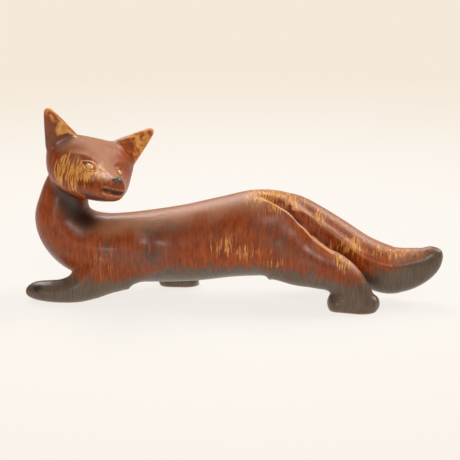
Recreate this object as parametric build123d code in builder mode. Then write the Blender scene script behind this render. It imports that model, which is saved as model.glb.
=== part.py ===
from build123d import *
from math import copysign, cos, pi, sin
import os

# A stalking fox in slip-cast stoneware, looking back over its left shoulder.
# The fox walks towards -X, its left side faces -Y, and it stands on z = 0, with
# the origin at the centre of the ground that it covers. Sizes are in millimetres.
# The trunk with the neck, the head, the ears, the legs and the tail are cast
# separately, cut to their seats, and luted together with slip.
# A list whose name ends in shares is a row of stations along a casting: places and
# half sizes as shares of the named sizes that the casting follows.

# Trunk and neck
trunk_front = -136.0
trunk_side = 9.85
trunk_length = 202.0
neck_height = 100.0
trunk_depth = 60.0
trunk_width = 58.0

# Head, turned back over the left shoulder
head_over_back = 16.8
head_to_side = 9.0
head_over_neck = 10.0
head_turn = 122.5
head_lift = 0.0
head_tilt = 16.5
head_length = 54.0
head_width = 70.0
head_height = 46.0

# Ears
ear_length = 44.8
ear_width = 27.0
ear_thickness = 15.0
ear_splay = 41.4
ear_lean = -1.5
ear_root_out = 16.5
ear_root_up = -1.0
ear_root_back = 4.0

# Eyes, nose and mouth
eye_spacing = 26.0
eye_forward = 23.8
eye_up = -1.4
eye_turn = 52.0
eye_lift = 30.0
eye_slant = 14.0
eye_length = 9.0
eye_height = 5.0
eye_seat = 3.0
eye_round = 5.5
eye_bulge = 1.4
nose_up = -5.6
nose_width = 9.5
nose_height = 7.0
nose_seat = 4.0
nose_proud = 2.6
nose_rounding = 2.0
mouth_gap = 1.2
mouth_depth = 1.6
mouth_up = -13.5
mouth_length = 14.0
mouth_curl = 1.0

# Left foreleg, reaching forward along the ground
left_elbow_x = -63.0
left_shoulder_out = 14.0
left_reach = 96.0
foreleg_height = 33.0
foreleg_depth = 40.0
foreleg_width = 30.0

# Right foreleg, drawn back under the chest
right_shoulder_x = -87.0
right_draw_back = 47.0
right_shoulder_out = 13.0
right_shoulder_height = 33.0

# Hind legs, stretched back
hip_x = 22.0
hip_out = 10.0
hip_height = 52.7
haunch_depth = 64.0
haunch_width = 36.0
left_stretch = 72.5
right_stretch = 66.5

# The flat paws of the hind legs and of the right foreleg
stance = 54.0
heel_behind = 18.0
foreheel_behind = 10.0
paw_length = 40.0
forepaw_length = 33.0
paw_width = 21.0
paw_height = 14.5

# Tail
tail_root_x = 29.0
tail_length = 128.0
tail_height = 70.0
tail_depth = 37.0
tail_width = 34.0

LEFT = Vector(0, -1, 0)


def drawn(value, square):
    """A sine or cosine drawn towards its ends, which squares an oval off; 2 leaves it as it is."""
    return copysign(abs(value) ** (2 / square), value)


def ring(plane, half_width, half_depth, square=2, flare=0):
    """A smooth closed oval on a plane, wider above its middle where it has a flare."""
    spokes = 12
    points = []
    for spoke in range(spokes):
        turn = 2 * pi * spoke / spokes - pi / 2
        rise = drawn(sin(turn), square)
        spread = half_width * (1 + flare * rise)
        points.append((spread * drawn(cos(turn), square), half_depth * rise))
    with BuildSketch(plane) as outline:
        with BuildLine():
            Spline(points, periodic=True)
        make_face()
    return outline.sketch.face()


def rings_along(centres, halves, across=LEFT):
    """Rings square to a path through the centres; where a half size is zero, a point."""
    rings = []
    last = len(centres) - 1
    for place, (half_width, half_depth) in enumerate(halves):
        centre = centres[place]
        if not half_width:
            rings.append(Vertex(centre.X, centre.Y, centre.Z))
            continue
        along = (centres[min(place + 1, last)] - centres[max(place - 1, 0)]).normalized()
        side = (across - along * across.dot(along)).normalized()
        rings.append(ring(Plane(origin=centre, x_dir=side, z_dir=along), half_width, half_depth))
    return rings


# Trunk and neck: x back along the body, z up, half depth, half width
trunk_shares = [
    (0.058, 0.975, 0.235, 0.259),
    (0.034, 0.860, 0.282, 0.303),
    (0.018, 0.730, 0.317, 0.350),
    (0.014, 0.609, 0.360, 0.400),
    (0.042, 0.503, 0.395, 0.440),
    (0.094, 0.420, 0.415, 0.466),
    (0.175, 0.386, 0.425, 0.483),
    (0.268, 0.382, 0.447, 0.483),
    (0.383, 0.399, 0.472, 0.483),
    (0.519, 0.432, 0.500, 0.491),
    (0.654, 0.484, 0.525, 0.500),
    (0.777, 0.521, 0.555, 0.505),
    (0.885, 0.520, 0.500, 0.440),
    (0.955, 0.500, 0.330, 0.300),
    (0.990, 0.480, 0.160, 0.140),
    (1.000, 0.475, 0.000, 0.000),
]
trunk_centres = [
    Vector(trunk_front + x * trunk_length, trunk_side, z * neck_height)
    for x, z, _, _ in trunk_shares
]
trunk_halves = [(width * trunk_width, depth * trunk_depth) for _, _, depth, width in trunk_shares]

with BuildPart() as trunk:
    loft(sections=rings_along(trunk_centres, trunk_halves))


# Head: a frame with x to the fox's left, y up through the crown, z out of the nose
head_centre = trunk_centres[0] + Vector(head_over_back, -head_to_side, head_over_neck)
looking_ahead = Plane(origin=(0, 0, 0), x_dir=LEFT, z_dir=(-1, 0, 0))
head_frame = Plane(
    Location(head_centre, (0, 0, head_turn))
    * looking_ahead.location
    * Location((0, 0, 0), (-head_lift, 0, 0))
    * Location((0, 0, 0), (0, 0, -head_tilt))
)

# Forward, up, half height, half width, squareness of the oval, flare above its middle
head_shares = [
    (-0.439, -0.090, 0.030, 0.030, 2.0, 0.00),
    (-0.421, -0.090, 0.150, 0.150, 2.0, 0.00),
    (-0.351, -0.095, 0.325, 0.330, 2.3, 0.08),
    (-0.219, -0.110, 0.460, 0.460, 2.7, 0.15),
    (-0.053, -0.120, 0.495, 0.495, 2.8, 0.14),
    (0.105, -0.147, 0.470, 0.462, 2.6, 0.02),
    (0.237, -0.180, 0.422, 0.400, 2.3, -0.16),
    (0.368, -0.212, 0.368, 0.330, 2.1, -0.30),
    (0.526, -0.242, 0.303, 0.262, 2.0, -0.34),
    (0.702, -0.260, 0.243, 0.198, 2.1, -0.24),
    (0.860, -0.258, 0.205, 0.145, 2.2, -0.08),
    (0.939, -0.248, 0.175, 0.114, 2.2, 0.00),
    (0.982, -0.240, 0.110, 0.070, 2.1, 0.00),
    (1.000, -0.240, 0.030, 0.025, 2.0, 0.00),
]


def head_place(left, up, forward):
    """A point given in the head's own frame."""
    return head_frame.from_local_coords(Vector(left, up, forward))


def head_sections(skin):
    """The head's rings, drawn in by the thickness of the skin."""
    rings = []
    for forward, up, depth, width, square, flare in head_shares:
        centre = head_place(0, up * head_height, forward * head_length)
        plane = Plane(origin=centre, x_dir=head_frame.x_dir, z_dir=head_frame.z_dir)
        half_width = width * head_width - skin
        half_depth = depth * head_height - skin
        if min(half_width, half_depth) <= 0:
            rings.append(Vertex(centre.X, centre.Y, centre.Z))
        else:
            rings.append(ring(plane, half_width, half_depth, square, flare))
    return rings


def eye_frame(side):
    """The eye's frame: x along the lids, z out of the eye; side is 1 on the left."""
    centre = head_place(side * eye_spacing / 2, eye_up, eye_forward)
    straight = Plane(origin=centre, x_dir=head_frame.x_dir, z_dir=head_frame.z_dir)
    return Plane(
        straight.location
        * Location((0, 0, 0), (0, side * eye_turn, 0))
        * Location((0, 0, 0), (-eye_lift, 0, 0))
        * Location((0, 0, 0), (0, 0, side * eye_slant))
    )


def almond():
    """The outline of an eye: two arcs that meet at its corners."""
    ThreePointArc((-eye_length / 2, 0), (0, eye_height / 2), (eye_length / 2, 0))
    ThreePointArc((eye_length / 2, 0), (0, -eye_height / 2), (-eye_length / 2, 0))


nose_forward_share = 0.95
nose_frame = Plane(
    origin=head_place(0, nose_up, nose_forward_share * head_length),
    x_dir=head_frame.x_dir,
    z_dir=head_frame.z_dir,
)
mouth_frame = Plane(origin=head_centre, x_dir=head_frame.z_dir, z_dir=head_frame.x_dir * -1)

with BuildPart() as eye_left:
    with BuildSketch(eye_frame(1).offset(-eye_seat)):
        with BuildLine():
            almond()
        make_face()
    extrude(amount=eye_seat + eye_round)
    with Locations(eye_frame(1).offset(eye_bulge - eye_round)):
        Sphere(eye_round, mode=Mode.INTERSECT)

with BuildPart() as eye_right:
    with BuildSketch(eye_frame(-1).offset(-eye_seat)):
        with BuildLine():
            almond()
        make_face()
    extrude(amount=eye_seat + eye_round)
    with Locations(eye_frame(-1).offset(eye_bulge - eye_round)):
        Sphere(eye_round, mode=Mode.INTERSECT)

with BuildPart() as nose:
    with BuildSketch(nose_frame.offset(-nose_seat)):
        Ellipse(nose_width / 2, nose_height / 2)
    extrude(amount=nose_seat + nose_proud)
    front = nose.faces().sort_by(Axis(nose_frame.origin, nose_frame.z_dir))[-1]
    fillet(front.edges(), nose_rounding)

with BuildPart() as skull:
    loft(sections=head_sections(0))

with BuildPart() as mouth:
    with BuildSketch(mouth_frame):
        with BuildLine():
            lips = ThreePointArc(
                (head_length - mouth_length, mouth_up + mouth_curl),
                (head_length - mouth_length / 2, mouth_up),
                (head_length + mouth_gap, mouth_up + mouth_curl),
            )
            offset(lips, mouth_gap / 2, kind=Kind.ARC)
        make_face()
    extrude(amount=nose_width, both=True)
    loft(sections=head_sections(mouth_depth), mode=Mode.SUBTRACT)

with BuildPart() as head:
    add(skull.part)
    for side in (1, -1):
        with BuildSketch(eye_frame(side).offset(-eye_seat)):
            with BuildLine():
                almond()
            make_face()
        extrude(amount=head_height, mode=Mode.SUBTRACT)
    with BuildSketch(nose_frame.offset(-nose_seat)):
        Ellipse(nose_width / 2, nose_height / 2)
    extrude(amount=head_height, mode=Mode.SUBTRACT)
    add(mouth.part, mode=Mode.SUBTRACT)

with BuildPart() as torso:
    add(trunk.part)
    add(skull.part, mode=Mode.SUBTRACT)

# Ears: share of the length, half width, half thickness
ear_shares = [
    (0.000, 0.54, 0.46),
    (0.300, 0.49, 0.45),
    (0.500, 0.39, 0.38),
    (0.700, 0.275, 0.30),
    (0.850, 0.180, 0.24),
    (0.940, 0.120, 0.18),
    (0.985, 0.065, 0.10),
    (1.000, 0.000, 0.000),
]


def ear_sections(side):
    """Rings of an ear from its root inside the skull to its tip."""
    splay = side * ear_splay * pi / 180
    lean = ear_lean * pi / 180
    centres = [
        head_place(
            side * ear_root_out + share * ear_length * sin(splay),
            ear_root_up + share * ear_length * cos(splay),
            -ear_root_back - share * ear_length * sin(lean),
        )
        for share, _, _ in ear_shares
    ]
    halves = [(width * ear_width, thick * ear_thickness) for _, width, thick in ear_shares]
    return rings_along(centres, halves, head_frame.x_dir)


with BuildPart() as ear_left:
    loft(sections=ear_sections(1))
    add(skull.part, mode=Mode.SUBTRACT)

with BuildPart() as ear_right:
    loft(sections=ear_sections(-1))
    add(skull.part, mode=Mode.SUBTRACT)


# Left foreleg: forward from the elbow, out to the side, up, half depth, half width
left_foreleg_shares = [
    (0.000, 0.90, 0.980, 0.270, 0.250),
    (0.097, 0.95, 0.930, 0.410, 0.420),
    (0.226, 1.00, 0.910, 0.545, 0.500),
    (0.370, 1.15, 0.715, 0.490, 0.500),
    (0.499, 1.30, 0.455, 0.380, 0.450),
    (0.603, 1.45, 0.290, 0.285, 0.400),
    (0.705, 1.55, 0.230, 0.232, 0.370),
    (0.804, 1.58, 0.226, 0.208, 0.350),
    (0.901, 1.55, 0.228, 0.182, 0.300),
    (0.957, 1.50, 0.212, 0.138, 0.220),
    (0.990, 1.40, 0.190, 0.065, 0.100),
    (1.000, 1.40, 0.180, 0.000, 0.000),
]
left_foreleg_centres = [
    Vector(
        left_elbow_x - forward * left_reach,
        trunk_side - out * left_shoulder_out,
        up * foreleg_height,
    )
    for forward, out, up, _, _ in left_foreleg_shares
]
left_foreleg_halves = [
    (width * foreleg_width, depth * foreleg_depth) for _, _, _, depth, width in left_foreleg_shares
]

with BuildPart() as foreleg_left:
    loft(sections=rings_along(left_foreleg_centres, left_foreleg_halves))
    add(trunk.part, mode=Mode.SUBTRACT)
    split(bisect_by=Plane.XY, keep=Keep.TOP)

# A flat paw from heel to toe: forward from the heel, half width, half height
paw_shares = [
    (0.000, 0.00, 0.00),
    (0.030, 0.20, 0.26),
    (0.110, 0.36, 0.46),
    (0.300, 0.47, 0.57),
    (0.550, 0.51, 0.59),
    (0.780, 0.49, 0.58),
    (0.920, 0.39, 0.48),
    (0.980, 0.20, 0.26),
    (1.000, 0.00, 0.00),
]
paw_middle_share = 0.41


def paw_sections(heel_x, out, length):
    """Rings of a paw, toes forward; out is its distance to the fox's left."""
    centres = [
        Vector(heel_x - forward * length, trunk_side - out, paw_middle_share * paw_height)
        for forward, _, _ in paw_shares
    ]
    halves = [(width * paw_width, rise * paw_height) for _, width, rise in paw_shares]
    return rings_along(centres, halves)


# Right foreleg: back from the shoulder, out, up, half depth, half width
right_foreleg_shares = [
    (0.000, 1.000, 1.00, 0.32, 0.36),
    (0.260, 1.400, 0.93, 0.32, 0.40),
    (0.510, 1.850, 0.74, 0.28, 0.38),
    (0.760, 2.180, 0.52, 0.23, 0.33),
    (0.930, 2.270, 0.31, 0.22, 0.30),
    (1.000, 2.270, 0.08, 0.23, 0.29),
    (1.010, 2.270, -0.10, 0.22, 0.27),
]
right_foreleg_centres = [
    Vector(
        right_shoulder_x + back * right_draw_back,
        trunk_side + out * right_shoulder_out,
        up * right_shoulder_height,
    )
    for back, out, up, _, _ in right_foreleg_shares
]
right_foreleg_halves = [
    (width * foreleg_width, depth * foreleg_depth) for _, _, _, depth, width in right_foreleg_shares
]

right_heel_x = right_shoulder_x + right_draw_back + foreheel_behind

with BuildPart() as foreleg_right:
    loft(sections=rings_along(right_foreleg_centres, right_foreleg_halves))
    loft(sections=paw_sections(right_heel_x, -stance / 2, forepaw_length))
    add(trunk.part, mode=Mode.SUBTRACT)
    split(bisect_by=Plane.XY, keep=Keep.TOP)

# Hind leg: back from the hip, out, up, half depth, half width
hind_leg_shares = [
    (0.000, 0.00, 0.860, 0.370, 0.380),
    (0.193, 0.17, 0.850, 0.430, 0.468),
    (0.419, 0.44, 0.690, 0.335, 0.410),
    (0.595, 0.67, 0.608, 0.268, 0.361),
    (0.757, 0.83, 0.545, 0.232, 0.320),
    (0.875, 0.94, 0.450, 0.205, 0.300),
    (0.957, 1.00, 0.300, 0.200, 0.290),
    (1.025, 1.00, 0.130, 0.195, 0.280),
    (1.050, 1.00, -0.060, 0.185, 0.270),
]


def hind_leg_sections(side, stretch):
    """Rings of a hind leg from the hip down through the hock; side is 1 on the left."""
    centres = []
    for back, out, up, _, _ in hind_leg_shares:
        spread = hip_out + out * (stance / 2 - hip_out)
        centres.append(Vector(hip_x + back * stretch, trunk_side - side * spread, up * hip_height))
    halves = [(width * haunch_width, depth * haunch_depth) for _, _, _, depth, width in hind_leg_shares]
    return rings_along(centres, halves)


with BuildPart() as hind_leg_left:
    loft(sections=hind_leg_sections(1, left_stretch))
    loft(sections=paw_sections(hip_x + left_stretch + heel_behind, stance / 2, paw_length))
    add(trunk.part, mode=Mode.SUBTRACT)
    split(bisect_by=Plane.XY, keep=Keep.TOP)

with BuildPart() as hind_leg_right:
    loft(sections=hind_leg_sections(-1, right_stretch))
    loft(sections=paw_sections(hip_x + right_stretch + heel_behind, -stance / 2, paw_length))
    add(trunk.part, mode=Mode.SUBTRACT)
    split(bisect_by=Plane.XY, keep=Keep.TOP)

# Tail: back from its root, up, half depth, half width
tail_shares = [
    (-0.200, 0.930, 0.200, 0.200),
    (-0.100, 0.988, 0.330, 0.300),
    (0.000, 1.005, 0.375, 0.330),
    (0.119, 0.967, 0.405, 0.375),
    (0.235, 0.849, 0.428, 0.415),
    (0.365, 0.680, 0.468, 0.455),
    (0.520, 0.485, 0.492, 0.485),
    (0.679, 0.360, 0.505, 0.480),
    (0.773, 0.358, 0.468, 0.440),
    (0.859, 0.400, 0.408, 0.380),
    (0.927, 0.465, 0.325, 0.300),
    (0.976, 0.550, 0.207, 0.190),
    (0.995, 0.590, 0.105, 0.090),
    (1.000, 0.605, 0.000, 0.000),
]
tail_centres = [
    Vector(tail_root_x + back * tail_length, trunk_side, up * tail_height)
    for back, up, _, _ in tail_shares
]
tail_halves = [(width * tail_width, depth * tail_depth) for _, _, depth, width in tail_shares]

with BuildPart() as tail:
    loft(sections=rings_along(tail_centres, tail_halves))
    add(trunk.part, mode=Mode.SUBTRACT)
    add(hind_leg_left.part, mode=Mode.SUBTRACT)
    add(hind_leg_right.part, mode=Mode.SUBTRACT)

castings = {
    "torso": torso,
    "head": head,
    "ear_left": ear_left,
    "ear_right": ear_right,
    "eye_left": eye_left,
    "eye_right": eye_right,
    "nose": nose,
    "foreleg_left": foreleg_left,
    "foreleg_right": foreleg_right,
    "hind_leg_left": hind_leg_left,
    "hind_leg_right": hind_leg_right,
    "tail": tail,
}
os.makedirs("parts", exist_ok=True)
for name, casting in castings.items():
    casting.part.label = name
    export_step(casting.part, f"parts/{name}.step")
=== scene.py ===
import math

import bmesh
import bpy
import numpy as np
from mathutils import Matrix


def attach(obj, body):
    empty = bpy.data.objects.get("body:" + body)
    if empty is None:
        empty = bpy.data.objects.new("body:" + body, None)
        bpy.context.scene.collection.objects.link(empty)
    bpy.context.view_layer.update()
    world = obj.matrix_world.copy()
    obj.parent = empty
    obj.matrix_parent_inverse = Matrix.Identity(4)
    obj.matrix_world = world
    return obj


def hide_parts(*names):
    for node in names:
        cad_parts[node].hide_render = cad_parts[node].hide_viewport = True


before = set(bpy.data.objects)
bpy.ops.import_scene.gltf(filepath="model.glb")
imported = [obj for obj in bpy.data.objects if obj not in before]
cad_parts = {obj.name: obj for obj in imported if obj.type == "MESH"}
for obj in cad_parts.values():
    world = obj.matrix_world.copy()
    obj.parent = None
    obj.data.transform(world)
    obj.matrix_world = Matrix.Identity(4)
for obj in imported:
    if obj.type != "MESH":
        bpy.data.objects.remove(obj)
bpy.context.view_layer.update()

# Trunk and neck
# One slip-cast piece of stoneware, oval all along, that bends up into the neck at the front
# and closes in a blunt rump. The other castings are luted to it while it is leather-hard.
mm = 0.001
LEFT = np.array([0.0, -1.0, 0.0])  # the fox's own
trunk_front, trunk_side, trunk_length = -136 * mm, 9.85 * mm, 202 * mm
neck_height, trunk_depth, trunk_width = 100 * mm, 60 * mm, 58 * mm


def through(stations, steps):
    """Stations carried onto even steps. Each column is the Catmull-Rom cubic through its
    values, so the curve passes every station and bends evenly between them."""
    table = np.array(stations, float)
    place = np.linspace(0, len(table) - 1, steps)
    start = np.clip(place.astype(int), 0, len(table) - 2)
    t = (place - start)[:, None]
    a, b, c, d = (table[np.clip(start + shift, 0, len(table) - 1)] for shift in (-1, 0, 1, 2))
    return 0.5 * (2 * b + (c - a) * t + (2 * a - 5 * b + 4 * c - d) * t**2 + (3 * b - a - 3 * c + d) * t**3)


def unit(vectors):
    """Vectors divided by their own length."""
    return vectors / np.maximum(np.linalg.norm(vectors, axis=-1, keepdims=True), 1e-12)


def swept(path, half_width, half_depth, across=LEFT, round_by=None, spokes=64):
    """Ovals carried along a path, square to it. A point is the path plus side times the half
    width times the cosine of its turn, plus rise times the half depth times the sine of it,
    both times a share that round_by gives for each station and turn."""
    along = unit(np.gradient(path, axis=0))
    side = unit(across - along * (along @ across)[:, None])
    rise = np.cross(side, along)
    turn = np.linspace(0, 2 * np.pi, spokes, endpoint=False)
    share = 1
    if round_by is not None:
        share = round_by(np.linspace(0, 1, len(path))[:, None], turn[None, :])[..., None]
    spread = half_width[:, None, None] * np.cos(turn)[None, :, None] * side[:, None, :]
    lift = half_depth[:, None, None] * np.sin(turn)[None, :, None] * rise[:, None, :]
    return path[:, None, :] + (spread + lift) * share


trunk_stations = [  # back, up, half depth, half width
    (0.058, 0.975, 0.235, 0.259), (0.034, 0.860, 0.282, 0.303), (0.018, 0.730, 0.317, 0.350),
    (0.014, 0.609, 0.360, 0.400), (0.042, 0.503, 0.395, 0.440), (0.094, 0.420, 0.415, 0.466),
    (0.175, 0.386, 0.425, 0.483), (0.268, 0.382, 0.447, 0.483), (0.383, 0.399, 0.472, 0.483),
    (0.519, 0.432, 0.500, 0.491), (0.654, 0.484, 0.525, 0.500), (0.777, 0.521, 0.555, 0.505),
    (0.885, 0.520, 0.500, 0.440), (0.955, 0.500, 0.330, 0.300), (0.990, 0.480, 0.160, 0.140),
    (1.000, 0.475, 0.010, 0.010),
]
back, up, deep, wide = through(trunk_stations, steps=150).T
trunk_path = np.stack([trunk_front + back * trunk_length, 0 * back + trunk_side, up * neck_height], -1)
trunk = swept(trunk_path, wide * trunk_width, deep * trunk_depth)

# Head
# A separate casting, broad across the cheeks and short in the muzzle, set on the neck with
# its face turned back over the left shoulder and tilted.
head_turn, head_tilt = 122.5, 16.5  # degrees
head_length, head_width, head_height = 54 * mm, 70 * mm, 46 * mm
head_offset = np.array([16.8, -9, 10]) * mm  # back, to the left and up from the top of the neck
head_centre = trunk_path[0] + head_offset


def turned(axis, degrees):
    """A turn about one of the three axes, as a matrix that acts on columns."""
    c, s = math.cos(math.radians(degrees)), math.sin(math.radians(degrees))
    first, second = [(1, 2), (2, 0), (0, 1)][axis]
    matrix = np.eye(3)
    matrix[first, first] = matrix[second, second] = c
    matrix[first, second], matrix[second, first] = -s, s
    return matrix


looking_ahead = np.array([LEFT, [0, 0, 1], [-1, 0, 0]]).T
head_axes = turned(2, head_turn) @ looking_ahead @ turned(2, -head_tilt)


def head_place(left, up, forward):
    """Points given in the head's own frame: to its left, up through the crown, out of the nose."""
    return head_centre + np.stack(np.broadcast_arrays(left, up, forward), -1) @ head_axes.T


head_stations = [  # forward, up, half height, half width, squareness, flare above the middle
    (-0.439, -0.090, 0.020, 0.020, 2.0, 0.00), (-0.421, -0.090, 0.150, 0.150, 2.0, 0.00),
    (-0.351, -0.095, 0.325, 0.330, 2.3, 0.08), (-0.219, -0.110, 0.460, 0.460, 2.7, 0.15),
    (-0.053, -0.120, 0.495, 0.495, 2.8, 0.14), (0.105, -0.147, 0.470, 0.462, 2.6, 0.02),
    (0.237, -0.180, 0.422, 0.400, 2.3, -0.16), (0.368, -0.212, 0.368, 0.330, 2.1, -0.30),
    (0.526, -0.242, 0.303, 0.262, 2.0, -0.34), (0.702, -0.260, 0.243, 0.198, 2.1, -0.24),
    (0.860, -0.258, 0.205, 0.145, 2.2, -0.08), (0.939, -0.248, 0.175, 0.114, 2.2, 0.00),
    (0.982, -0.240, 0.110, 0.070, 2.1, 0.00), (1.000, -0.240, 0.005, 0.005, 2.0, 0.00),
]


def rounded(cosine, squareness):
    """A cosine or sine drawn towards its ends, which squares an oval off."""
    return np.sign(cosine) * np.abs(cosine) ** (2 / squareness)


forward, up, tall, wide, square, flare = through(head_stations, steps=110).T[:, :, None]
turn = np.linspace(0, 2 * np.pi, 72, endpoint=False)[None, :]
rise = rounded(np.sin(turn), square)
skull = head_place(
    wide * head_width * rounded(np.cos(turn), square) * (1 + flare * rise),
    up * head_height + tall * head_height * rise,
    forward * head_length,
)

# Ears
# Two modelled leaves of clay, thick at the root, luted to the crown and thinned to a rim.
# Here and below, side is 1 for the fox's left and -1 for its right.
ear_lengths, ear_width, ear_thickness = {1: 44.8 * mm, -1: 42.6 * mm}, 27 * mm, 15 * mm
ear_splay, ear_lean = math.radians(39.5), math.radians(-1.5)
ear_roots = {1: np.array([16.5, -1, -4]) * mm, -1: np.array([-18.4, -1, -4]) * mm}
ear_stations = [  # along, half width, half thickness
    (0.000, 0.54, 0.46), (0.300, 0.49, 0.45), (0.500, 0.39, 0.38), (0.700, 0.275, 0.30),
    (0.850, 0.180, 0.24), (0.940, 0.120, 0.18), (0.985, 0.065, 0.10), (1.000, 0.004, 0.004),
]


def ear_direction(side):
    """Where an ear points in the head's frame: splayed from upright by one angle, leaning by another."""
    return np.array([side * math.sin(ear_splay), math.cos(ear_splay), -math.sin(ear_lean)])


def ear(side):
    """An ear's ovals, carried straight from its root to its tip."""
    share, wide, thick = through(ear_stations, steps=60).T
    left, up, forward = ear_roots[side][:, None] + np.outer(ear_direction(side), share) * ear_lengths[side]
    return swept(head_place(left, up, forward), wide * ear_width, thick * ear_thickness, head_axes[:, 0])


# Legs
# Four castings. The left foreleg reaches ahead along the ground, the right one is drawn back
# under the chest, and the hind legs stretch back from broad haunches to flat feet.
left_elbow, left_shoulder_out, left_reach = -63 * mm, 14 * mm, 96 * mm
foreleg_height, foreleg_depth, foreleg_width = 33 * mm, 40 * mm, 30 * mm
left_foreleg_stations = [  # forward, out, up, half depth, half width
    (0.000, 0.90, 0.980, 0.270, 0.250), (0.097, 0.95, 0.930, 0.410, 0.420),
    (0.226, 1.00, 0.910, 0.545, 0.500), (0.370, 1.15, 0.715, 0.490, 0.500),
    (0.499, 1.30, 0.455, 0.380, 0.450), (0.603, 1.45, 0.290, 0.285, 0.400),
    (0.705, 1.55, 0.230, 0.232, 0.370), (0.804, 1.58, 0.226, 0.208, 0.350),
    (0.901, 1.55, 0.228, 0.182, 0.300), (0.957, 1.50, 0.212, 0.138, 0.220),
    (0.990, 1.40, 0.190, 0.065, 0.100), (1.000, 1.40, 0.180, 0.004, 0.004),
]
ahead, out, up, deep, wide = through(left_foreleg_stations, steps=100).T
left_foreleg_path = np.stack([
    left_elbow - ahead * left_reach, trunk_side - out * left_shoulder_out, up * foreleg_height,
], -1)
foreleg_left = swept(left_foreleg_path, wide * foreleg_width, deep * foreleg_depth)

stance, heel_behind, paw_length = 54 * mm, 18 * mm, 40 * mm
forepaw_heel_behind, forepaw_length = 10 * mm, 33 * mm
paw_width, paw_height, paw_middle = 21 * mm, 14.5 * mm, 0.41
paw_stations = [  # forward, half width, half height
    (0.000, 0.01, 0.01), (0.030, 0.20, 0.26), (0.110, 0.36, 0.46), (0.300, 0.47, 0.57), (0.550, 0.51, 0.59),
    (0.780, 0.49, 0.58), (0.920, 0.39, 0.48), (0.980, 0.20, 0.26), (1.000, 0.01, 0.01),
]


def paw(heel, out, length):
    """A flat paw from heel to toe; out is its distance to the fox's left."""
    ahead, wide, tall = through(paw_stations, steps=60).T
    middle = paw_middle * paw_height
    path = np.stack([heel - ahead * length, 0 * ahead + trunk_side - out, 0 * ahead + middle], -1)
    return swept(path, wide * paw_width, tall * paw_height)


right_shoulder, right_draw_back = -87 * mm, 47 * mm
right_shoulder_out, right_shoulder_height = 13 * mm, 33 * mm
right_foreleg_stations = [  # back, out, up, half depth, half width
    (0.000, 1.000, 1.00, 0.32, 0.36), (0.260, 1.400, 0.93, 0.32, 0.40), (0.510, 1.850, 0.74, 0.28, 0.38),
    (0.760, 2.180, 0.52, 0.23, 0.33), (0.930, 2.270, 0.31, 0.22, 0.30), (1.000, 2.270, 0.08, 0.23, 0.29),
    (1.010, 2.270, -0.10, 0.22, 0.27),
]
back, out, up, deep, wide = through(right_foreleg_stations, steps=80).T
right_foreleg_path = np.stack([
    right_shoulder + back * right_draw_back, trunk_side + out * right_shoulder_out,
    up * right_shoulder_height,
], -1)
foreleg_right = swept(right_foreleg_path, wide * foreleg_width, deep * foreleg_depth)
forepaw_right = paw(right_shoulder + right_draw_back + forepaw_heel_behind, -stance / 2, forepaw_length)

hip, hip_out, hip_height, haunch_depth, haunch_width = 22 * mm, 10 * mm, 52.7 * mm, 64 * mm, 36 * mm
stretches = {1: 72.5 * mm, -1: 66.5 * mm}
top_edge, top_turn, top_width = 0.05, math.radians(86), 0.22  # share of the oval, where on it, how wide
inner_draw, inner_turn, inner_width = 0.12, math.radians(135), 0.45
outer_edge, outer_turn, outer_width = 0.04, math.radians(-8), 0.3
top_span, calf_span = (0.05, 0.2, 0.7, 0.9), (0.45, 0.65, 0.85, 0.95)  # from, full, fading, gone
hind_leg_stations = [  # back, out, up, half depth, half width
    (0.000, 0.00, 0.860, 0.370, 0.380), (0.193, 0.17, 0.850, 0.430, 0.468),
    (0.419, 0.44, 0.690, 0.335, 0.410), (0.595, 0.67, 0.608, 0.268, 0.361),
    (0.757, 0.83, 0.545, 0.232, 0.320), (0.875, 0.94, 0.450, 0.205, 0.300),
    (0.957, 1.00, 0.300, 0.200, 0.290), (1.025, 1.00, 0.130, 0.195, 0.280),
    (1.050, 1.00, -0.060, 0.185, 0.270),
]


def bell(apart, width, power=2):
    """1 at nought, falling away to both sides: e to the minus of apart over width, to a power."""
    return np.exp(-((apart / width) ** power))


def bump(turn, centre, width):
    """1 at one turn of an oval, falling away to both sides as a bell."""
    return bell((turn - centre + np.pi) % (2 * np.pi) - np.pi, width)


def rises(value, start, run):
    """0 up to a start, 1 from a run past it, and straight between them."""
    return np.clip((value - start) / run, 0, 1)


def fades(value, first, full, past, last):
    """Rises from 0 to 1 between two values, and falls back between two others."""
    return rises(value, first, full - first) * rises(-value, -last, last - past)


def hind_leg(side):
    """A hind leg from the hip down through the hock, with a raised edge along its top, drawn
    in on its inner side, and a soft one down the outside."""
    def round_by(station, turn):
        outward = turn if side == 1 else np.pi - turn
        top, calf = fades(station, *top_span), fades(station, *calf_span)
        crest = top_edge * bump(outward, top_turn, top_width)
        crest = crest - inner_draw * bump(outward, inner_turn, inner_width)
        return 1 + top * crest + outer_edge * calf * bump(outward, outer_turn, outer_width)

    back, out, up, deep, wide = through(hind_leg_stations, steps=110).T
    spread = hip_out + out * (stance / 2 - hip_out)
    path = np.stack([hip + back * stretches[side], trunk_side - side * spread, up * hip_height], -1)
    return swept(path, wide * haunch_width, deep * haunch_depth, round_by=round_by)


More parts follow.
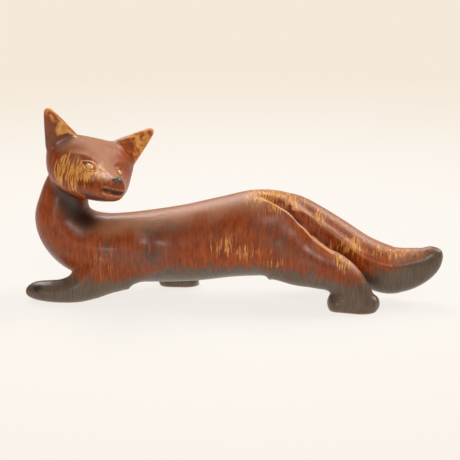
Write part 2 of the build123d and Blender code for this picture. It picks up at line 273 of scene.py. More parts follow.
# Tail
# One casting that follows on from the back, sinks behind the hocks and turns up at its tip.
# A soft edge runs along each flank, above a side that is nearly flat.
tail_root, tail_length, tail_height = 29 * mm, 128 * mm, 70 * mm
tail_depth, tail_width = 37 * mm, 34 * mm
side_edge, side_edge_turn, side_edge_width = 0.06, 0.38, 0.20  # share of the oval, where on it, how wide
side_flat, side_flat_turn, side_flat_width = 0.06, -0.25, 0.42
side_span = (0.22, 0.35, 0.62, 0.82)
tail_stations = [  # back, up, half depth, half width
    (-0.200, 0.930, 0.200, 0.200), (-0.100, 0.988, 0.330, 0.300), (0.000, 1.005, 0.375, 0.330),
    (0.119, 0.967, 0.405, 0.375), (0.235, 0.849, 0.428, 0.415), (0.365, 0.680, 0.468, 0.455),
    (0.520, 0.485, 0.492, 0.485), (0.679, 0.360, 0.505, 0.480), (0.773, 0.358, 0.468, 0.440),
    (0.859, 0.400, 0.408, 0.380), (0.927, 0.465, 0.325, 0.300), (0.976, 0.550, 0.207, 0.190),
    (0.995, 0.590, 0.105, 0.090), (1.000, 0.605, 0.004, 0.004),
]


def tail_round(station, turn):
    """1, plus an edge a little above the middle of each flank, less a flat below it, on the
    stretch between the haunches and the upturned tip."""
    edge = sum(bump(flank, side_edge_turn, side_edge_width) for flank in (turn, np.pi - turn))
    flat = sum(bump(flank, side_flat_turn, side_flat_width) for flank in (turn, np.pi - turn))
    return 1 + fades(station, *side_span) * (side_edge * edge - side_flat * flat)


back, up, deep, wide = through(tail_stations, steps=140).T
tail_path = np.stack([tail_root + back * tail_length, 0 * back + trunk_side, up * tail_height], -1)
tail = swept(tail_path, wide * tail_width, deep * tail_depth, round_by=tail_round)

# Luted body
# The castings are joined with slip, the joints filled and sponged smooth, and one coat of
# glaze covers all of it, so everything but the eyes and the nose is a single skin.
skin_grain = 1.25 * mm


def tube_faces(rows, spokes, first):
    """Quads between neighbouring rings, and triangles from each end ring to its middle point."""
    ring, spoke = np.meshgrid(first + np.arange(rows - 1) * spokes, np.arange(spokes), indexing="ij")
    following, next_ring = (spoke + 1) % spokes, ring + spokes
    corners = [ring + spoke, ring + following, next_ring + following, next_ring + spoke]
    quads = np.stack(corners, -1).reshape(-1, 4)
    around, after = np.arange(spokes), (np.arange(spokes) + 1) % spokes
    start, end = first + rows * spokes, first + rows * spokes + 1
    last = (rows - 1) * spokes + first
    caps = np.concatenate([
        np.stack([around + first, 0 * around + start, after + first], -1),
        np.stack([last + around, last + after, 0 * around + end], -1),
    ])
    return quads.tolist() + caps.tolist()


def closed_mesh(name, grids):
    """One mesh out of several closed tubes, each a grid of points."""
    points, faces, first = [], [], 0
    for grid in grids:
        rows, spokes = grid.shape[:2]
        points += [grid.reshape(-1, 3), grid[:1].mean(1), grid[-1:].mean(1)]
        faces += tube_faces(rows, spokes, first)
        first += rows * spokes + 2
    mesh = bpy.data.meshes.new(name)
    mesh.from_pydata(np.concatenate(points).tolist(), [], faces)
    return mesh


def placed(name, mesh):
    """An object at the origin that holds a mesh."""
    piece = bpy.data.objects.new(name, mesh)
    bpy.context.scene.collection.objects.link(piece)
    return piece


castings = placed("castings", closed_mesh("castings", [
    trunk, skull, ear(1), ear(-1), foreleg_left, foreleg_right, forepaw_right, hind_leg(1), hind_leg(-1),
    paw(hip + stretches[1] + heel_behind, stance / 2, paw_length),
    paw(hip + stretches[-1] + heel_behind, -stance / 2, paw_length), tail,
]))
joined = castings.modifiers.new("luted", "REMESH")
joined.mode, joined.voxel_size = "VOXEL", skin_grain
bpy.context.view_layer.update()
skin_mesh = bpy.data.meshes.new_from_object(castings.evaluated_get(bpy.context.evaluated_depsgraph_get()))
bpy.data.objects.remove(castings)
skin_mesh.name = "glazed_body"


def column(items, name, width, kind=float):
    """One property of all points, edges or loops of a mesh, a row each."""
    flat = np.empty(len(items) * width, kind)
    items.foreach_get(name, flat)
    return flat.reshape(-1, width)


def drawn_in(points, edges):
    """How far each point's neighbours lie from it, as a vector to their mean."""
    pairs = np.concatenate([edges, edges[:, ::-1]])
    count = np.bincount(pairs[:, 0], minlength=len(points))
    total = [np.bincount(pairs[:, 0], values, len(points)) for values in points[pairs[:, 1]].T]
    return np.stack(total, -1) / count[:, None] - points


def smooth(points, edges, rounds, where=1.0, share=0.5, share_back=0.52):
    """Evens out small steps: each round moves points towards their neighbours' mean, then a
    little farther back, which keeps the volume."""
    for _ in range(rounds):
        points = points + share * where * drawn_in(points, edges)
        points = points - share_back * where * drawn_in(points, edges)
    return points


def normals_of(points, quads):
    """Each point's normal: the cross products of its faces' diagonals, summed and made unit."""
    across = np.cross(points[quads[:, 2]] - points[quads[:, 0]], points[quads[:, 3]] - points[quads[:, 1]])
    owners, shares = quads.ravel("F"), np.tile(across, (4, 1))
    return unit(np.stack([np.bincount(owners, shares[:, axis], len(points)) for axis in range(3)], -1))


def filled(points, edges, quads, where, rounds, share=0.6):
    """Slip wiped into hollow corners: points move out along their normals by a share of what
    their neighbours stand proud of them, and never in. where is 0 at creases that stay open."""
    for _ in range(rounds):
        normals = normals_of(points, quads)
        proud = (drawn_in(points, edges) * normals).sum(1)
        points = points + (share * where * np.maximum(proud, 0))[:, None] * normals
    return points


def away(points, path, steps_each=12):
    """How far points lie from a smooth line through stations that are given in millimetres."""
    line = through(path, steps_each * len(path)) * mm
    nearest = np.full(len(points), np.inf)
    for a, b in zip(line[:-1], line[1:]):
        t = np.clip((points - a) @ (b - a) / ((b - a) @ (b - a)), 0, 1)[:, None]
        nearest = np.minimum(nearest, ((points - a - t * (b - a)) ** 2).sum(1))
    return np.sqrt(nearest)


def near(points, path, reach):
    """1 on a line, falling to 0 away from it as a bell of that reach in millimetres."""
    return bell(away(points, path), reach * mm)


def sharp(points, path, reach):
    """1 on a line, falling to 0 at that reach, with a sharp top: the edge between two planes."""
    return np.clip(1 - away(points, path) / (reach * mm), 0, 1) ** 2


def both(path):
    """A line on the left flank, and the same line on the other side of the trunk."""
    return [path, [(x, 2 * trunk_side / mm - y, z) for x, y, z in path]]


# Lines on the skin are x, y and z in millimetres, as are the heights and reaches that go with them.
groove_depth, groove_reach, groove_start, groove_run = 3.4, 2.7, 14, 18
haunch_groove = [
    (15.9, 1.5, 83.7), (24.6, -1.8, 82.7), (30.1, -3.3, 81.5), (36.5, -5.7, 78.7), (44.2, -7.1, 74.1),
    (52.1, -8.2, 65.9), (59.9, -9, 56.7),
]
haunch_edge = [
    (19, -2.1, 82.4), (28.3, -5.1, 80.6), (38.2, -7.9, 76.4), (48.9, -10, 68.8), (61.2, -13, 54.3),
    (75.8, -17.4, 44.6),
]
leg_tail_crease = [(64, -9, 55), (76, -9, 44), (88, -10, 34), (100, -10, 22), (104, -6, 12)]
tail_edge = [
    (46, -4.5, 75), (53, -3, 71), (59.7, -2.9, 66.7), (72.2, -3.8, 58.7), (86.5, -4.9, 48.3),
    (98.9, -5.6, 39.5), (110, -5.4, 34.5), (120.7, -4.8, 32.1),
]
elbow = [(-84, -18.5, 25), (-77, -18.5, 29.5), (-65, -17.9, 35.7), (-60, -17.5, 38.5)]
shoulder_swell = [(-84, -15, 42), (-74, -15, 46)]
behind_shoulder = [(-66, -17, 56), (-57, -19, 45), (-55, -18, 36)]
instep = [(74, -22, 14.5), (80, -24.5, 16), (88, -25, 17.5), (95, -24, 19.5)]
chest_crease = [(-127, -3.85, 20), (-123, -10.85, 22), (-119, -14.35, 26), (-116, -16.45, 34)]
jaw = np.array([(35, -9, -10), (32, -20, -2), (22, -26, 2), (8, -27, 8), (0, -27, 12)]) * mm
jaw_crease = head_place(*np.concatenate([jaw[:-1] * (-1, 1, 1), jaw[::-1]]).T) / mm
open_creases = [(jaw_crease, 5), (chest_crease, 8)]  # line, reach
for groove, crease in zip(both(haunch_groove), both(leg_tail_crease)):
    open_creases += [(groove, 3.5), (crease, 8)]
wiped_lines = [(shoulder_swell, 1.5, 13), (behind_shoulder, -1.0, 6)]  # line, height, reach

edges = column(skin_mesh.edges, "vertices", 2, int)
quads = column(skin_mesh.loops, "vertex_index", 1, int).reshape(-1, 4)
skin = smooth(column(skin_mesh.vertices, "co", 3), edges, rounds=5)
kept_open = sum(near(skin, line, reach) for line, reach in open_creases)
skin = filled(skin, edges, quads, np.clip(1 - kept_open, 0, 1), rounds=78)
relief = sum(height * near(skin, line, reach) for line, height, reach in wiped_lines)
deeper = rises(skin[:, 0] / mm, groove_start, groove_run)
for line in both(haunch_groove):
    relief = relief - groove_depth * deeper * near(skin, line, groove_reach)
skin = skin + (relief * mm)[:, None] * normals_of(skin, quads)
skin_mesh.vertices.foreach_set("co", skin.ravel())

# Face and finer edges
# The eye sockets, the mouth, the hollows of the ears and the crisp edges are cut with a loop
# tool in the leather-hard clay, so the skin is split finer there.
eye_spacing, eye_forward, eye_up = 25.2 * mm, 25 * mm, -1.6 * mm
eye_turn, eye_lift, eye_slant = 52, 30, 14  # degrees
socket_length, socket_height, socket_depth = 7.4 * mm, 3.0 * mm, 0.9
socket_reach, socket_edge = 4 * mm, 0.35
lid_height, lid_place, lid_width = 0.5, 1.15, 0.22  # height, where across the socket's rim, how wide
fold_depth, fold_place, fold_width = 0.45, 1.85, 0.25
mouth_up, mouth_width, mouth_depth = -13.4 * mm, 1.25 * mm, 1.6
lip_up, lip_width, lip_height = -16.6 * mm, 1.2 * mm, 0.4
mouth_start, mouth_run = 46, 4
face_start, face_run, least_smoothing = 9, 3, 0.2
brow = np.array([(24, 3, 10), (13, 5, 18), (8, 1.5, 29), (4, -2, 40), (3, -4, 47)]) * mm
elbow_height, elbow_reach, instep_depth, instep_reach = 0.9, 5, 1.0, 1.8
ridge_height, ridge_reach, ridge_span = 1.6, 4.2, (18, 32, 62, 80)
arris_height, arris_reach, arris_span = 1.8, 6, (18, 32, 96, 122)
brow_height, brow_reach = 0.8, 5
head_reach = 62 * mm
face_back, face_front, face_side, face_low, face_high = 10 * mm, 60 * mm, 30 * mm, -24 * mm, 9 * mm


def eye_axes(side):
    """An eye's own axes, as columns: along the lids, across them, and out of the eye."""
    return head_axes @ turned(1, side * eye_turn) @ turned(0, -eye_lift) @ turned(2, side * eye_slant)


def eye_centre(side):
    """The middle of an eye."""
    return head_place(side * eye_spacing / 2, eye_up, eye_forward)


def in_head(points):
    """Points as left, up and forward in the head's own frame."""
    return ((points - head_centre) @ head_axes).T


left, up, forward = in_head(skin)
fine = (forward > face_back) & (forward < face_front) & (np.abs(left) < face_side)
fine = fine & (up > face_low) & (up < face_high)
for path, reach in ((haunch_edge, 4 * mm), (tail_edge, 2.5 * mm)):
    for line in both(path):
        fine = fine | (away(skin, line) < reach)
finer = bmesh.new()
finer.from_mesh(skin_mesh)
finer.verts.ensure_lookup_table()
chosen = [edge for edge in finer.edges if fine[edge.verts[0].index] and fine[edge.verts[1].index]]
bmesh.ops.subdivide_edges(finer, edges=chosen, cuts=1, use_grid_fill=True)
finer.to_mesh(skin_mesh)
finer.free()

edges = column(skin_mesh.edges, "vertices", 2, int)
skin = column(skin_mesh.vertices, "co", 3)
left, up, forward = in_head(skin)
on_head = bell(np.linalg.norm(skin - head_centre, axis=1), head_reach, power=12)
in_face = on_head * rises(forward / mm, face_start, face_run)
skin = smooth(skin, edges, rounds=3, where=np.maximum(in_face, least_smoothing)[:, None])


def carved(points, heights):
    """Points moved out along their normals by heights in millimetres."""
    skin_mesh.vertices.foreach_set("co", points.ravel())
    skin_mesh.update()
    return points + (heights * mm)[:, None] * column(skin_mesh.vertices, "normal", 3)


relief = elbow_height * sharp(skin, elbow, elbow_reach) - instep_depth * near(skin, instep, instep_reach)
ridge_rise = ridge_height * fades(skin[:, 0] / mm, *ridge_span)
arris_rise = arris_height * fades(skin[:, 0] / mm, *arris_span)
for ridge, arris in zip(both(haunch_edge), both(tail_edge)):
    relief = relief + ridge_rise * sharp(skin, ridge, ridge_reach)
    relief = relief + arris_rise * sharp(skin, arris, arris_reach)
for side in (1, -1):
    brow_line = head_place(*(brow * (side, 1, 1)).T) / mm
    relief = relief + brow_height * sharp(skin, brow_line, brow_reach)
skin = carved(skin, relief)

relief = np.zeros(len(skin))
for side in (1, -1):
    along, across, out = ((skin - eye_centre(side)) @ eye_axes(side)).T
    here = bell(out, socket_reach, power=4) * bell(along, 1.5 * socket_length, power=6)
    almond = np.abs(across) / socket_height + (along / socket_length) ** 2
    hollow = rises(1 - almond, 0, socket_edge)
    lid = lid_height * bell(almond - lid_place, lid_width)
    fold = np.where(across > 0, -fold_depth * bell(almond - fold_place, fold_width), 0)
    relief = relief + here * (lid + fold - socket_depth * hollow * hollow * (3 - 2 * hollow))
muzzle_front = on_head * rises(forward / mm, mouth_start, mouth_run)
mouth = muzzle_front * bell(up - mouth_up, mouth_width)
relief = relief - mouth_depth * mouth + lip_height * muzzle_front * bell(up - lip_up, lip_width)
skin = carved(skin, relief)

# The ears are scooped out in front. Glaze runs thin on their rims and tips, and all the way up the
# left ear, and stays dull in the scoop of the right one.
scoop_depth, scoop_span, rim_wall, least_scoop = 2.0, (11, 17, 35, 43), 2 * mm, 1 * mm
ear_base, ear_base_run, past_middle = 8, 8, -4 * mm
edge_inset, edge_run, edge_strength = 6.5 * mm, 5 * mm, 0.85
tip_start, tip_run, tip_side, tip_side_run, tip_strengths = 12, 16, -1 * mm, 6 * mm, {1: 1.0, -1: 0.8}
thin_start, thin_run, thin_least, dull_end, dull_run = 10, 24, 0.25, 30, 10
relief, rim, ear_front = np.zeros((3, len(skin)))
normals = column(skin_mesh.vertices, "normal", 3)
ear_shares, ear_half_widths, _ = np.array(ear_stations).T
for side in (1, -1):
    direction = ear_direction(side)
    from_root = in_head(skin).T - ear_roots[side]
    along = from_root @ direction
    across = from_root @ np.cross((0, 0, 1), direction)
    room = np.interp(along / ear_lengths[side], ear_shares, ear_half_widths) * ear_width
    facing = np.clip(normals @ head_axes[:, 2] * 1.6, 0, 1)
    width_fade = np.clip(1 - (across / np.maximum(room - rim_wall, least_scoop)) ** 2, 0, 1)
    relief = relief - scoop_depth * facing * fades(along / mm, *scoop_span) * width_fade
    on_ear = on_head * rises(along / mm, ear_base, ear_base_run) * (side * from_root[:, 0] > past_middle)
    edge = rises(edge_inset - across, room, edge_run)
    tip = rises(along / mm, tip_start, tip_run) * (1 - rises(across, tip_side, tip_side_run))
    rim = np.maximum(rim, on_ear * np.maximum(edge_strength * edge, tip_strengths[side] * tip))
    if side == 1:
        rim = np.maximum(rim, on_ear * np.maximum(rises(along / mm, thin_start, thin_run), thin_least))
    else:
        ear_front = on_ear * (1 - edge) * (1 - rises(along / mm, dull_end, dull_run))
skin = carved(skin, relief)
skin[:, 2] = np.maximum(skin[:, 2], 0)
skin_mesh.vertices.foreach_set("co", skin.ravel())
skin_mesh.polygons.foreach_set("use_smooth", np.ones(len(skin_mesh.polygons), bool))
skin_mesh.update()

# Glaze
# One coat of satin brown glaze. It runs down in fine streaks, breaks to ochre where it is thinner,
# and is grey low down where a second glaze was dipped on. It pools dark and glossy in the hollows and
# the mouth, darkened further there with painted shade; under the jaw the dark is painted shade, and at
# the neck it is darker glaze with painted shade. Edges are lightened to orange where the glaze is
# thinner, with a painted highlight along the haunch ridges and tail arrises, and surfaces that face
# up carry a painted sheen.
ochre_patches = [  # x, y, z, half length, half height, strength
    (-124, -24, 105, 8, 14, 0.70), (-113, -29, 103, 10, 15, 0.78), (-103, -31, 105, 10, 11, 0.90),
    (-94, -36, 104, 7, 8, 0.52), (-86, -42, 102, 5, 6, 0.30), (33, -8, 77, 12, 5, 0.50),
    (-6, -19, 48, 11, 9, 0.47), (12, -19, 45, 14, 8, 0.42), (30, -19, 35, 12, 5, 0.28),
    (26, 4, 84, 18, 7, 0.72), (44, 4, 78, 13, 5, 0.55), (66, 2, 68, 12, 6, 0.55),
    (89, -3, 47, 10, 7, 0.78), (78, -7, 46, 7, 8, 0.50), (114, 4, 41, 20, 6, 0.50),
    (83, -20, 38, 7, 7, 0.75), (-98, -16, 36, 14, 12, 0.22), (-18, 39, 48, 16, 10, 0.60),
    (30, 37, 44, 18, 9, 0.50), (80, 38, 39, 9, 7, 0.75), (-130, 8, 110, 12, 12, 0.50),
]
dusk_lines = [
    [(-97, 2, 63), (-80, -4, 62), (-62, -9, 61), (-40, -12, 61)],
    [(-60, -10, 59), (-57, -17, 49), (-56, -19, 38)],
    [(24, -18, 62), (34, -19, 54), (46, -20, 46), (62, -22, 40)], [(-126, 2, 118), (-118, -8, 124)],
    [(-138, 2, 66), (-137, -3, 52), (-130, -6, 38)], [(-94, -18, 44), (-80, -20, 38), (-66, -18, 38)],
]
# The neck line below marks darker glaze with painted shade under the head.
throat_line, throat_reach = [(-128, -14, 84), (-121, -9, 72), (-113, -5, 63)], 13
under_nose, under_nose_reach = head_place(0, np.array([-9, -12]) * mm, 51 * mm) / mm, 4.5
toe_spots, toe_spot_reach = [(-149.5, -18, 12.5), (-148.5, -19, 11.5)], 3.5
grey_line = [  # x, height under which the second glaze lies
    (-160, 50), (-136, 33), (-128, 22), (-120, 20.5), (-108, 19.5), (-96, 18), (-82, 18), (-66, 23),
    (-50, 29), (-10, 30.5), (40, 31), (62, 28), (84, 23), (94, 25), (104, 26), (118, 27), (130, 31),
    (144, 39), (160, 52),
]
# The ridge and arris reaches and the lift below paint a highlight, partly thinner glaze, along the haunch
# ridges and tail arrises.
dusk_reach, ridge_highlight_reach, arris_highlight_reach, edge_glaze_and_highlight_lift, edge_start, edge_run = 10, 1.5, 1.4, 0.20, 16, 12
head_radius, flow_low, flow_reach = 30 * mm, -26 * mm, 70 * mm
jaw_low, jaw_low_run, jaw_start, jaw_start_run = 17.5, 3, 22, 8
head_low, head_above, far_above = -40 * mm, 70, 60
deep_rust, bright_rust = (0.190, 0.030, 0.003, 1), (0.400, 0.072, 0.006, 1)
# Pale brown here is a painted sheen for surfaces that face up.
dusky_brown, painted_sheen_brown = (0.105, 0.050, 0.028, 1), (0.50, 0.27, 0.16, 1)
dark_gold, pale_gold = (0.46, 0.135, 0.020, 1), (0.74, 0.345, 0.085, 1)
# Orange: the glaze where thinner on edges, with a painted highlight along the ridges. Near black: glaze that
# pools, with painted shade.
thin_glaze_and_highlight_orange, pooled_glaze_and_shade_black = (0.80, 0.34, 0.13, 1), (0.045, 0.022, 0.012, 1)
deep_grey, pale_grey = (0.085, 0.054, 0.033, 1), (0.155, 0.103, 0.066, 1)
bare_clay, spot_black = (0.42, 0.17, 0.065, 1), (0.035, 0.024, 0.018, 1)


def evened(values, edges, rounds, share=0.7):
    """Values of the points, each drawn towards its neighbours' mean that many times."""
    values = values[:, None]
    for _ in range(rounds):
        values = values + share * drawn_in(values, edges)
    return values[:, 0]


edges = column(skin_mesh.edges, "vertices", 2, int)
normals = column(skin_mesh.vertices, "normal", 3)
spans = np.tile(np.linalg.norm(skin[edges[:, 0]] - skin[edges[:, 1]], axis=1) / mm, 2)
reach = np.bincount(edges.ravel("F"), spans, len(skin)) / np.bincount(edges.ravel("F"), minlength=len(skin))
bend_and_ridge_highlight = evened(-(drawn_in(skin, edges) * normals).sum(1) / mm / reach**2, edges, rounds=6)
# Along the haunch ridges and tail arrises the edge value is raised: a painted highlight, partly thinner
# glaze.
for ridge, arris in zip(both(haunch_edge), both(tail_edge)):
    ridge_thin_glaze_and_highlight = near(skin, ridge, ridge_highlight_reach) + 0.6 * near(skin, arris, arris_highlight_reach)
    bend_and_ridge_highlight = bend_and_ridge_highlight + edge_glaze_and_highlight_lift * ridge_thin_glaze_and_highlight * rises(skin[:, 0] / mm, edge_start, edge_run)
# How far each point faces up, for the painted sheen on top surfaces.
facing_up_for_painted_sheen = evened(normals[:, 2], edges, rounds=4)
ochre = 0.70 * rim
for x, y, z, long, high, strength in ochre_patches:
    apart = (skin / mm - (x, y, z)) / (long, long, high)
    ochre = np.maximum(ochre, strength * np.exp(-(apart**2).sum(1)))
dusk = sum(near(skin, line, dusk_reach) for line in dusk_lines) + 1.2 * ear_front
beside = skin - head_centre
bearing = np.arctan2(beside[:, 1], beside[:, 0]) + math.radians(180 - head_turn)
round_head = (bearing + np.pi) % (2 * np.pi) - np.pi
high_up = (in_head(skin)[1] > flow_low) & (np.linalg.norm(beside, axis=1) < flow_reach)
flow = np.where(high_up, head_radius * round_head, skin[:, 0])
# Dark at the neck: darker glaze, partly painted shade.
throat_glaze_and_painted_shade = near(skin, throat_line, throat_reach)
# Painted shade under the jaw.
painted_shade_under_jaw = on_head * rises(-up / mm, jaw_low, jaw_low_run) * rises(forward / mm, jaw_start, jaw_start_run)
throat_glaze_and_painted_shade = np.maximum(throat_glaze_and_painted_shade, 0.65 * painted_shade_under_jaw)
throat_glaze_and_painted_shade = np.maximum(throat_glaze_and_painted_shade, 0.5 * near(skin, under_nose, under_nose_reach))
x, z = skin[:, 0] / mm, skin[:, 2] / mm
over_grey = z - np.interp(x, *np.array(grey_line, float).T)
over_grey = np.where((in_head(skin)[1] > head_low) & (z > head_above), far_above, over_grey)
spots = near(skin, toe_spots, toe_spot_reach)
for name, values in {
    "bend_and_ridge_highlight": bend_and_ridge_highlight, "facing_up_for_painted_sheen": facing_up_for_painted_sheen, "ochre": ochre, "throat_glaze_and_painted_shade": throat_glaze_and_painted_shade, "mouth": mouth, "over_grey": over_grey,
    "spots": spots, "dusk": dusk, "flow": flow,
}.items():
    skin_mesh.attributes.new(name, "FLOAT", "POINT").data.foreach_set("value", values)


class Value:
    """A socket in a material's node tree, worked on with the usual operators."""

    def __init__(self, tree, socket):
        self.tree, self.socket = tree, socket

    def node(self, kind, settings, inputs, output=0):
        """A new node, with its settings made before its inputs are given or joined."""
        made = self.tree.nodes.new(kind)
        for name, setting in settings.items():
            setattr(made, name, setting)
        for name, value in inputs.items():
            if isinstance(value, Value):
                self.tree.links.new(value.socket, made.inputs[name])
            else:
                made.inputs[name].default_value = value
        return Value(self.tree, made.outputs[output])

    def maths(self, operation, first, second=0.0):
        """A Math node on two values, either of which may be a plain number."""
        return self.node("ShaderNodeMath", {"operation": operation}, {0: first, 1: second})

    def __add__(self, other):
        return self.maths("ADD", self, other)

    def __sub__(self, other):
        return self.maths("SUBTRACT", self, other)

    def __rsub__(self, other):
        return self.maths("SUBTRACT", other, self)

    def __mul__(self, other):
        return self.maths("MULTIPLY", self, other)

    __radd__, __rmul__ = __add__, __mul__

    def eased(self, low, high):
        """0 below one value and 1 above another, eased between them."""
        limits = {"Value": self, "From Min": low, "From Max": high}
        return self.node("ShaderNodeMapRange", {"interpolation_type": "SMOOTHSTEP"}, limits)

    def blend(self, first, second):
        """A colour between two others."""
        return self.node("ShaderNodeMix", {"data_type": "RGBA"}, {0: self, 6: first, 7: second}, 2)

    def noise(self, scale, stretch, detail=3.0, roughness=0.55):
        """Cloudy noise over this position, drawn out by the stretch of each axis."""
        place = self.node("ShaderNodeVectorMath", {"operation": "MULTIPLY"}, {0: self, 1: stretch})
        inputs = {"Vector": place, "Scale": scale, "Detail": detail, "Roughness": roughness}
        return self.node("ShaderNodeTexNoise", {}, inputs)

    def attribute(self, name):
        """A number that each point of the mesh carries under this name."""
        return self.node("ShaderNodeAttribute", {"attribute_name": name}, {}, 2)


def fresh_material(name, constants):
    """A new material, its shader with these constants in its sockets, and the object position in it."""
    material = bpy.data.materials.new(name)
    material.use_nodes = True
    shader = material.node_tree.nodes["Principled BSDF"]
    for socket, constant in constants.items():
        shader.inputs[socket].default_value = constant
    where = Value(material.node_tree, material.node_tree.nodes.new("ShaderNodeTexCoord").outputs["Object"])
    return material, shader, where


def feed(shader, name, value):
    """Joins a value to one of the shader's sockets."""
    value.tree.links.new(value.socket, shader.inputs[name])


fine_streaks, broad_streaks, clouds, blotches, grains = 1000, 430, 50, 240, 1200  # noise scales
body_glaze, shader, where = fresh_material("body_glaze", {"Specular IOR Level": 0.32, "Coat Roughness": 0.24})
down = where.node("ShaderNodeVectorMath", {"operation": "MULTIPLY"}, {0: where, 1: (0, 0.2, 0.12)})
sideways = where.node("ShaderNodeCombineXYZ", {}, {"X": where.attribute("flow")})
flowing = where.node("ShaderNodeVectorMath", {"operation": "ADD"}, {0: down, 1: sideways})
streak = flowing.noise(fine_streaks, (1, 1, 1)).eased(0.33, 0.67)
long_streak = flowing.noise(broad_streaks, (1, 1, 0.5)).eased(0.33, 0.67)
cloud = where.noise(clouds, (1, 1, 0.6), detail=4).eased(0.36, 0.66)
grain = where.noise(grains, (1, 1, 0.7), detail=2)
# Orange on convex edges: thinner glaze, with a painted highlight along the ridges.
thin_glaze_and_highlight = where.attribute("bend_and_ridge_highlight").eased(0.06, 0.17)
# Darker in hollows: glaze that pools there, partly painted shade.
pooled_glaze_and_shade = (0 - where.attribute("bend_and_ridge_highlight")).eased(0.03, 0.14)
mottle = where.noise(blotches, (1, 1, 0.6), detail=5).eased(0.34, 0.66)
mixed = 0.35 * streak + 0.20 * long_streak + 0.30 * mottle + 0.15 * grain
rust = mixed.eased(0.05, 0.95).blend(deep_rust, bright_rust)
dulled = 0.45 * cloud * mottle + where.attribute("dusk") * (0.20 + 0.25 * mottle)
rust = dulled.eased(0, 1).blend(rust, dusky_brown)
# Painted sheen: surfaces that face up are lightened towards pale brown, as if under a light from above.
painted_top_sheen = (where.attribute("facing_up_for_painted_sheen") + 0.15 * cloud).eased(0.5, 1.05)
rust = (0.6 * painted_top_sheen).blend(rust, painted_sheen_brown)
run = (where.attribute("ochre") + 0.42 * streak + 0.30 * long_streak + 0.12 * cloud).eased(0.70, 1.10)
gold = (0.6 * streak + 0.4 * grain).eased(0.25, 0.75).blend(dark_gold, pale_gold)
rust = run.blend(rust, gold)
rust = (0.8 * thin_glaze_and_highlight).blend(rust, thin_glaze_and_highlight_orange)
# Near black in hollows, the mouth, at the neck and under the jaw: dark glaze that pools, with painted shade;
# under the jaw only painted shade.
dark = 0.6 * pooled_glaze_and_shade + where.attribute("throat_glaze_and_painted_shade") + 1.2 * where.attribute("mouth")
rust = dark.eased(0.1, 1.0).blend(rust, pooled_glaze_and_shade_black)
grey = (0.6 * streak + 0.4 * cloud).blend(deep_grey, pale_grey)
over = (where.attribute("over_grey") + 2 * long_streak + 1.5 * streak + 6 * mottle - 5).eased(-4.5, 5)
glaze = over.blend(grey, rust)
height = where.node("ShaderNodeSeparateXYZ", {}, {0: where}, 2)
glaze = (height + 0.6 * mm * grain).eased(0.6 * mm, 1.6 * mm).blend(bare_clay, glaze)
glaze = (where.attribute("spots") * (0.6 + streak)).eased(0.2, 0.9).blend(glaze, spot_black)
feed(shader, "Base Color", glaze)
glossy = where.attribute("dusk") + 0.8 * where.attribute("throat_glaze_and_painted_shade") + 0.6 * (1 - over)
feed(shader, "Coat Weight", 0.4 * glossy.eased(0.15, 0.95))
feed(shader, "Roughness", 0.26 + 0.16 * grain + 0.04 * cloud)
pits = {"Strength": 0.8, "Distance": 0.11 * mm, "Height": grain + 0.25 * streak}
feed(shader, "Normal", where.node("ShaderNodeBump", {}, pits))

glazed_body = placed("glazed_body", skin_mesh)
glazed_body.data.materials.append(body_glaze)
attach(glazed_body, "root")
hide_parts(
    "torso", "head", "ear_left", "ear_right", "foreleg_left", "foreleg_right",
    "hind_leg_left", "hind_leg_right", "tail",
)

# Eyes
# Two small beads of clay pressed into the sockets, under a thick drop of yellow glaze that runs
# out over the lower lid.
bead_length, bead_height, bead_depth, bead_sunk = 3.7 * mm, 2.4 * mm, 2.2 * mm, -0.9 * mm
deep_amber, pale_amber = (0.50, 0.24, 0.06, 1), (0.86, 0.58, 0.22, 1)
eye_glaze, shader, where = fresh_material("eye_glaze", {"Coat Weight": 0.5, "Coat Roughness": 0.12})
speck = where.noise(900, (1, 1, 0.4))
feed(shader, "Base Color", speck.eased(0.3, 0.7).blend(deep_amber, pale_amber))
feed(shader, "Roughness", 0.18 + 0.18 * speck)


def ball(rings, spokes, end=0.03):
    """A ball of radius 1 as three grids. The first two are the sine of the slope times the
    cosine and sine of the turn, and the third, which points out, is minus the slope's cosine."""
    slope, turn = np.linspace(end, np.pi - end, rings), np.linspace(0, 2 * np.pi, spokes, endpoint=False)
    slope, turn = np.meshgrid(slope, turn, indexing="ij")
    return np.sin(slope) * np.cos(turn), np.sin(slope) * np.sin(turn), -np.cos(slope)


def glazed(name, grid, glaze):
    """A small piece, closed at both ends, under its own glaze."""
    piece = placed(name, closed_mesh(name, [grid]))
    piece.data.polygons.foreach_set("use_smooth", np.ones(len(piece.data.polygons), bool))
    piece.data.materials.append(glaze)
    return piece


along, across, out = ball(rings=24, spokes=40)
bead = np.stack([bead_length * along, bead_height * across, bead_depth * out + bead_sunk], -1)
for side, name in ((1, "eye_left"), (-1, "eye_right")):
    eye = glazed(name + "_bead", bead @ eye_axes(side).T + eye_centre(side), eye_glaze)
    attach(eye, "root")
    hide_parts(name)

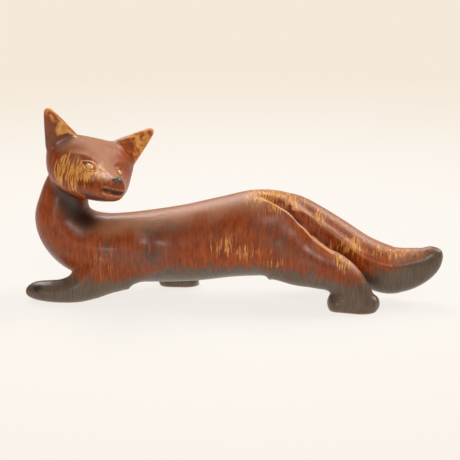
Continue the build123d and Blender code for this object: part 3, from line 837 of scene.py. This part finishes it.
# Nose
# A small pad of clay pressed on the tip of the muzzle and pricked with two nostrils. The glaze
# on it is thick, and nearly black where it fills them.
nose_up, nose_forward = -5.6 * mm, 50.6 * mm
nose_width, nose_height, nose_depth = 4.7 * mm, 3.5 * mm, 3.4 * mm
nostril_out, nostril_down, nostril_width, nostril_height = 0.50, 0.12, 0.20, 0.26  # shares of the pad
nostril_depth, cleft_depth, cleft_width, pad_taper = 0.34, 0.10, 0.10, 0.12
soot, brown_black = (0.040, 0.024, 0.015, 1), (0.19, 0.085, 0.035, 1)
nose_glaze, shader, where = fresh_material("nose_glaze", {"Coat Weight": 0.2, "Coat Roughness": 0.12})
speck = where.noise(1100, (1, 1, 0.5))
feed(shader, "Base Color", speck.eased(0.35, 0.75).blend(soot, brown_black))
feed(shader, "Roughness", 0.28 + 0.2 * speck)
across, rise, out = ball(rings=48, spokes=72)
nostrils = bell(rise + nostril_down, nostril_height) * sum(
    bell(across - side * nostril_out, nostril_width) for side in (1, -1)
)
cleft = bell(across, cleft_width) * np.clip(-rise * 1.5, 0, 1)
kept = 1 - (nostril_depth * nostrils + cleft_depth * cleft) * (out > 0)
pad = head_place(
    nose_width * across * (1 - pad_taper * rise) * kept,
    nose_up + nose_height * rise * kept,
    nose_forward + nose_depth * out * kept,
)
nose = glazed("nose_pad", pad, nose_glaze)
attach(nose, "root")
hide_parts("nose")

# Floor, light and camera
# A plain pale sheet that glows a little, as on a light table, two broad soft boxes above and
# behind, a smaller one and a low white card in front, and soft light all round.
photo_turn, photo_lift, photo_distance, photo_lens = math.radians(5), math.radians(15), 1.15, 117
aim_along, aim_height, aim_right, aim_up = -1 * mm, 50 * mm, -2.3 * mm, 3.3 * mm
photo_side = np.array([math.cos(photo_turn), math.sin(photo_turn), 0])
photo_back = np.array([0, 0, math.sin(photo_lift)]) + math.cos(photo_lift) * np.cross(photo_side, [0, 0, 1])
photo_up = np.cross(photo_back, photo_side)
aim = np.array([aim_along, trunk_side, aim_height]) + aim_right * photo_side + aim_up * photo_up
camera_data = bpy.data.cameras.new("camera")
camera_data.lens = photo_lens
camera = bpy.data.objects.new("camera", camera_data)
bpy.context.scene.collection.objects.link(camera)
camera.matrix_world = Matrix(np.vstack([
    np.column_stack([photo_side, photo_up, photo_back, aim + photo_distance * photo_back]), [0, 0, 0, 1],
]).tolist())
bpy.context.scene.camera = camera

floor_reach, glow_centre, glow_near, glow_far = 30, (0, 0.15, 0), 0.12, 1.0
near_white, far_cream, paper_grey = (1.0, 0.96, 0.905, 1), (0.915, 0.815, 0.685, 1), (0.12, 0.115, 0.11, 1)
floor_mesh = bpy.data.meshes.new("floor")
corners = [(x * floor_reach, y * floor_reach, 0) for x, y in ((-1, -1), (1, -1), (1, 1), (-1, 1))]
floor_mesh.from_pydata(corners, [], [(0, 1, 2, 3)])
floor = placed("floor", floor_mesh)
paper, shader, where = fresh_material("paper", {
    "Base Color": paper_grey, "Roughness": 0.9, "Specular IOR Level": 0.0, "Emission Strength": 0.82,
})
far = where.node("ShaderNodeVectorMath", {"operation": "DISTANCE"}, {0: where, 1: glow_centre}, 1)
feed(shader, "Emission Color", far.eased(glow_near, glow_far).blend(near_white, far_cream))
floor.data.materials.append(paper)

room_colour, room_strength, lamp_colour = (1, 0.95, 0.89, 1), 0.25, (1, 0.97, 0.93)
world = bpy.data.worlds.new("room")
bpy.context.scene.world = world
world.use_nodes = True
world.node_tree.nodes["Background"].inputs["Color"].default_value = room_colour
world.node_tree.nodes["Background"].inputs["Strength"].default_value = room_strength
lamps = [  # name, azimuth, elevation and spread in degrees, strength
    ("box_behind", 115, 52, 38, 1.9), ("box_right", 30, 42, 34, 2.1),
    ("box_front", -72, 40, 14, 0.75), ("card_front", -112, 10, 8, 0.24),
]
for name, azimuth, elevation, spread, energy in lamps:
    lamp_data = bpy.data.lights.new(name, "SUN")
    lamp_data.energy, lamp_data.angle, lamp_data.color = energy, math.radians(spread), lamp_colour
    lamp = bpy.data.objects.new(name, lamp_data)
    lamp.rotation_euler = (0, math.radians(90 - elevation), math.radians(azimuth))
    bpy.context.scene.collection.objects.link(lamp)
bpy.context.scene.view_settings.view_transform = "Standard"
